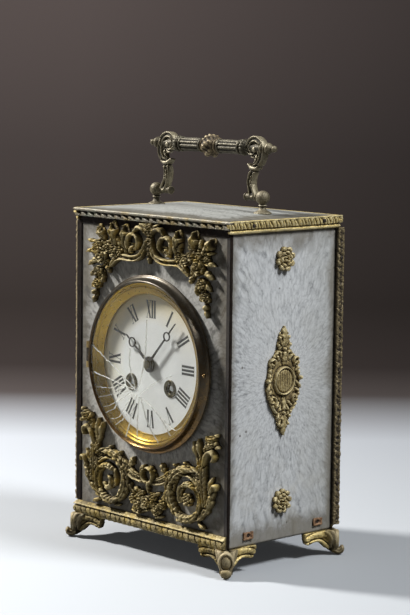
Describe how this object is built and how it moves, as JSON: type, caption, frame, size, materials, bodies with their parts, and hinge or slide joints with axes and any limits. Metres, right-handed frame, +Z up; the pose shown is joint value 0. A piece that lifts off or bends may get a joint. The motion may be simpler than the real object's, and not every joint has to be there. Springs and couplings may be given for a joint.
{
  "type": "officers clock",
  "caption": "Officers clock in a mottled sheet metal case on cast feet, with gilt scroll mounts, a hinged bezel over an enamel dial and a folding carrying handle.",
  "frame": {"origin": "floor under the middle of the clock", "axes": "+Z up, +X to the right as one faces the dial, dial towards -Y"},
  "size_m": [0.1534, 0.1044, 0.2592],
  "materials": {
    "moire_sheet": "tinned sheet with a grey feathery crystal pattern, stained and spotted",
    "dark_frame": "blackened",
    "gilt_bronze": "old gilding, dull olive gold with dark hollows",
    "worn_brass": "worn and darkened",
    "rusty_iron": "rusty",
    "steel": "plain",
    "movement_brass": "turned",
    "bell_metal": "satin",
    "enamel": "white enamel with black numerals",
    "glass": "clear, cracked",
    "blued_steel": "blackened blue"
  },
  "bodies": {
    "case": {"front_panel": "moire_sheet", "left_panel": "moire_sheet", "right_panel": "moire_sheet", "back_panel": "moire_sheet", "top_panel": "moire_sheet", "base_plate": "dark_frame", "corner_posts": "dark_frame", "top_frame": "dark_frame", "top_mouldings": "gilt_bronze", "bottom_mouldings": "gilt_bronze", "upright_mouldings": "gilt_bronze", "feet": "gilt_bronze", "garland_mount": "gilt_bronze", "scroll_mount": "gilt_bronze", "cartouches": "gilt_bronze", "rosettes": "gilt_bronze", "handle_post_left": "worn_brass", "handle_post_right": "worn_brass", "back_ring": "worn_brass", "trim_nails": "rusty_iron", "panel_clips": "rusty_iron", "foot_screws": "steel", "post_nuts": "steel", "hinge_pins": "steel", "dial_pan": "movement_brass", "front_plate": "movement_brass", "back_plate": "movement_brass", "pillars": "movement_brass", "escapement_cock": "movement_brass", "bell": "bell_metal", "dial": "enamel"},
    "handle": {"handle_arm_left": "worn_brass", "handle_arm_right": "worn_brass", "grip_rod": "steel", "grip_sleeves": "worn_brass", "grip_knop": "gilt_bronze", "grip_finials": "worn_brass"},
    "bezel_door": {"bezel": "gilt_bronze", "bezel_glass": "glass", "sight_ring": "gilt_bronze"},
    "back_cover": {"back_door": "worn_brass"},
    "minute_works": {"centre_wheel": "movement_brass", "cannon_pinion": "movement_brass", "minute_hand": "blued_steel", "hand_nut": "blued_steel"},
    "hour_works": {"hour_wheel": "movement_brass", "hour_hand": "blued_steel"},
    "motion_wheel": {"minute_wheel": "movement_brass"},
    "intermediate": {"intermediate_wheel": "movement_brass"},
    "going_drum": {"going_barrel": "movement_brass", "going_mainspring": "steel"},
    "third": {"third_wheel": "movement_brass"},
    "fourth": {"fourth_wheel": "movement_brass"},
    "escape": {"escape_wheel": "movement_brass"},
    "balance": {"balance_wheel": "movement_brass"},
    "going_winder": {"going_arbor": "steel"},
    "strike_drum": {"strike_barrel": "movement_brass", "strike_mainspring": "steel"},
    "strike_winder": {"strike_arbor": "steel"},
    "bell_hammer": {"hammer": "steel"}
  },
  "joints": [
    {"name": "handle_swing", "type": "hinge", "parent": "case", "child": "handle", "pos_m": [0, 0.0015, 0.222], "axis": [1, 0, 0], "range_deg": [-85, 95]},
    {"name": "bezel_swing", "type": "hinge", "parent": "case", "child": "bezel_door", "pos_m": [-0.0569, -0.0467, 0.1194], "axis": [0, 0, -1], "range_deg": [0, 110]},
    {"name": "back_door_swing", "type": "hinge", "parent": "case", "child": "back_cover", "pos_m": [-0.0472, 0.0467, 0.1194], "axis": [0, 0, 1], "range_deg": [0, 110]},
    {"name": "minute_turn", "type": "hinge", "parent": "case", "child": "minute_works", "pos_m": [0, 0, 0.1194], "axis": [0, 1, 0], "continuous": true},
    {"name": "hour_turn", "type": "hinge", "parent": "case", "child": "hour_works", "pos_m": [0, 0, 0.1194], "axis": [0, 1, 0], "continuous": true},
    {"name": "motion_wheel_turn", "type": "hinge", "parent": "case", "child": "motion_wheel", "pos_m": [0, 0, 0.1314], "axis": [0, 1, 0], "continuous": true},
    {"name": "intermediate_turn", "type": "hinge", "parent": "case", "child": "intermediate", "pos_m": [0.01526, 0, 0.12422], "axis": [0, 1, 0], "continuous": true},
    {"name": "going_barrel_turn", "type": "hinge", "parent": "case", "child": "going_drum", "pos_m": [0.0178, 0, 0.1064], "axis": [0, 1, 0], "continuous": true},
    {"name": "third_turn", "type": "hinge", "parent": "case", "child": "third", "pos_m": [-0.00274, 0, 0.13491], "axis": [0, 1, 0], "continuous": true},
    {"name": "fourth_turn", "type": "hinge", "parent": "case", "child": "fourth", "pos_m": [-0.01378, 0, 0.14129], "axis": [0, 1, 0], "continuous": true},
    {"name": "escape_turn", "type": "hinge", "parent": "case", "child": "escape", "pos_m": [-0.00841, 0, 0.15057], "axis": [0, 1, 0], "continuous": true},
    {"name": "balance_swing", "type": "hinge", "parent": "case", "child": "balance", "pos_m": [-0.0144, 0, 0.14897], "axis": [0, 1, 0], "range_deg": [-200, 200], "stiffness_Nm_per_rad": 0.00003},
    {"name": "going_wind", "type": "hinge", "parent": "case", "child": "going_winder", "pos_m": [0.0178, 0, 0.1064], "axis": [0, 1, 0], "continuous": true},
    {"name": "strike_barrel_turn", "type": "hinge", "parent": "case", "child": "strike_drum", "pos_m": [-0.0178, 0, 0.1064], "axis": [0, 1, 0], "continuous": true},
    {"name": "strike_wind", "type": "hinge", "parent": "case", "child": "strike_winder", "pos_m": [-0.0178, 0, 0.1064], "axis": [0, 1, 0], "continuous": true},
    {"name": "hammer_lift", "type": "hinge", "parent": "case", "child": "bell_hammer", "pos_m": [0.0238, 0, 0.1294], "axis": [0, 1, 0], "range_deg": [-10, 0], "stiffness_Nm_per_rad": 0.002}
  ],
  "couplings": [
    {"joint": "hour_turn", "follows": "minute_turn", "ratio": 0.083333},
    {"joint": "motion_wheel_turn", "follows": "minute_turn", "ratio": -0.33333},
    {"joint": "intermediate_turn", "follows": "minute_turn", "ratio": -0.11111},
    {"joint": "going_barrel_turn", "follows": "minute_turn", "ratio": 0.013889},
    {"joint": "third_turn", "follows": "minute_turn", "ratio": -8},
    {"joint": "fourth_turn", "follows": "minute_turn", "ratio": 60}
  ]
}
